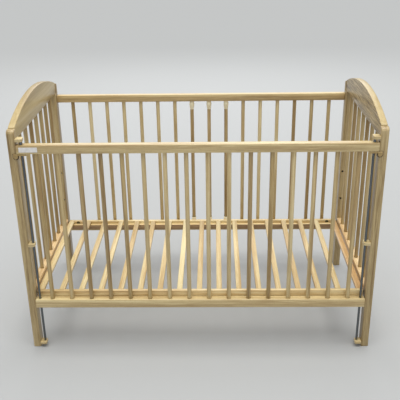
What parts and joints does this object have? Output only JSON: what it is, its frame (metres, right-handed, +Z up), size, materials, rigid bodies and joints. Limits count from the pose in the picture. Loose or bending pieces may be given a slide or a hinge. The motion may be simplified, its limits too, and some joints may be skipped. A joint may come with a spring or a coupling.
{
  "type": "drop-side baby crib",
  "caption": "Wooden baby crib with arched end panels, round spindles, a drop side on two steel rods and a slatted mattress base.",
  "frame": {"origin": "middle of the footprint at floor level", "axes": "+X along the length towards the right-hand end, +Y from the drop side towards the rear side, +Z up"},
  "size_m": [1.254, 0.669, 0.912],
  "materials": {
    "lacquered_beech": "clear satin lacquer",
    "chromed_steel": "polished",
    "dark_steel": "dark zinc",
    "cream_plastic": "satin",
    "beige_plastic": "satin",
    "white_label": "plain, blank"
  },
  "bodies": {
    "crib_frame": {"arch_board_left": "lacquered_beech", "arch_board_right": "lacquered_beech", "bar_sleeve_1": "cream_plastic", "bar_sleeve_2": "cream_plastic", "bar_sleeve_3": "cream_plastic", "base_bolt_front_left": "dark_steel", "base_bolt_front_right": "dark_steel", "base_bolt_rear_left": "dark_steel", "base_bolt_rear_right": "dark_steel", "base_cam_front_left": "dark_steel", "base_cam_front_right": "dark_steel", "base_cam_rear_left": "dark_steel", "base_cam_rear_right": "dark_steel", "base_front_rail": "lacquered_beech", "base_rear_rail_and_slats": "lacquered_beech", "end_bars_and_rail_left": "lacquered_beech", "end_bars_and_rail_right": "lacquered_beech", "post_front_left": "lacquered_beech", "post_front_right": "lacquered_beech", "post_rear_left": "lacquered_beech", "post_rear_right": "lacquered_beech", "rear_bars_and_bottom_rail": "lacquered_beech", "rear_bolt_bottom_left": "dark_steel", "rear_bolt_bottom_right": "dark_steel", "rear_bolt_top_left": "dark_steel", "rear_bolt_top_right": "dark_steel", "rear_top_rail": "lacquered_beech", "rod_bracket_foot_left": "lacquered_beech", "rod_bracket_foot_right": "lacquered_beech", "rod_bracket_middle_left": "lacquered_beech", "rod_bracket_middle_right": "lacquered_beech", "rod_bracket_top_left": "lacquered_beech", "rod_bracket_top_right": "lacquered_beech", "slide_rod_left": "chromed_steel", "slide_rod_right": "chromed_steel"},
    "drop_side": {"blank_label": "white_label", "drop_bar_01": "lacquered_beech", "drop_bar_02": "lacquered_beech", "drop_bar_03": "lacquered_beech", "drop_bar_04": "lacquered_beech", "drop_bar_05": "lacquered_beech", "drop_bar_06": "lacquered_beech", "drop_bar_07": "lacquered_beech", "drop_bar_08": "lacquered_beech", "drop_bar_09": "lacquered_beech", "drop_bar_10": "lacquered_beech", "drop_bar_11": "lacquered_beech", "drop_bar_12": "lacquered_beech", "drop_bar_13": "lacquered_beech", "drop_bar_14": "lacquered_beech", "drop_bar_15": "lacquered_beech", "drop_bar_16": "lacquered_beech", "drop_bottom_rail": "lacquered_beech", "drop_top_rail": "lacquered_beech"},
    "catch_left": {"side_catch_left": "beige_plastic"},
    "catch_right": {"side_catch_right": "beige_plastic"},
    "loose_bar_1": {"removable_bar_1": "lacquered_beech"},
    "loose_bar_2": {"removable_bar_2": "lacquered_beech"},
    "loose_bar_3": {"removable_bar_3": "lacquered_beech"}
  },
  "joints": [
    {"name": "drop_side_slide", "type": "slide", "parent": "crib_frame", "child": "drop_side", "axis": [0, 0, -1], "range_m": [0, 0.149]},
    {"name": "catch_left_slide", "type": "slide", "parent": "drop_side", "child": "catch_left", "axis": [1, 0, 0], "range_m": [0, 0.007], "stiffness_N_per_m": 250, "springref_m": -0.004},
    {"name": "catch_right_slide", "type": "slide", "parent": "drop_side", "child": "catch_right", "axis": [-1, 0, 0], "range_m": [0, 0.007], "stiffness_N_per_m": 250, "springref_m": -0.004},
    {"name": "loose_bar_1_lift", "type": "slide", "parent": "crib_frame", "child": "loose_bar_1", "axis": [0, 0, 1], "range_m": [0, 0.012], "stiffness_N_per_m": 300, "springref_m": -0.004},
    {"name": "loose_bar_2_lift", "type": "slide", "parent": "crib_frame", "child": "loose_bar_2", "axis": [0, 0, 1], "range_m": [0, 0.012], "stiffness_N_per_m": 300, "springref_m": -0.004},
    {"name": "loose_bar_3_lift", "type": "slide", "parent": "crib_frame", "child": "loose_bar_3", "axis": [0, 0, 1], "range_m": [0, 0.012], "stiffness_N_per_m": 300, "springref_m": -0.004}
  ]
}
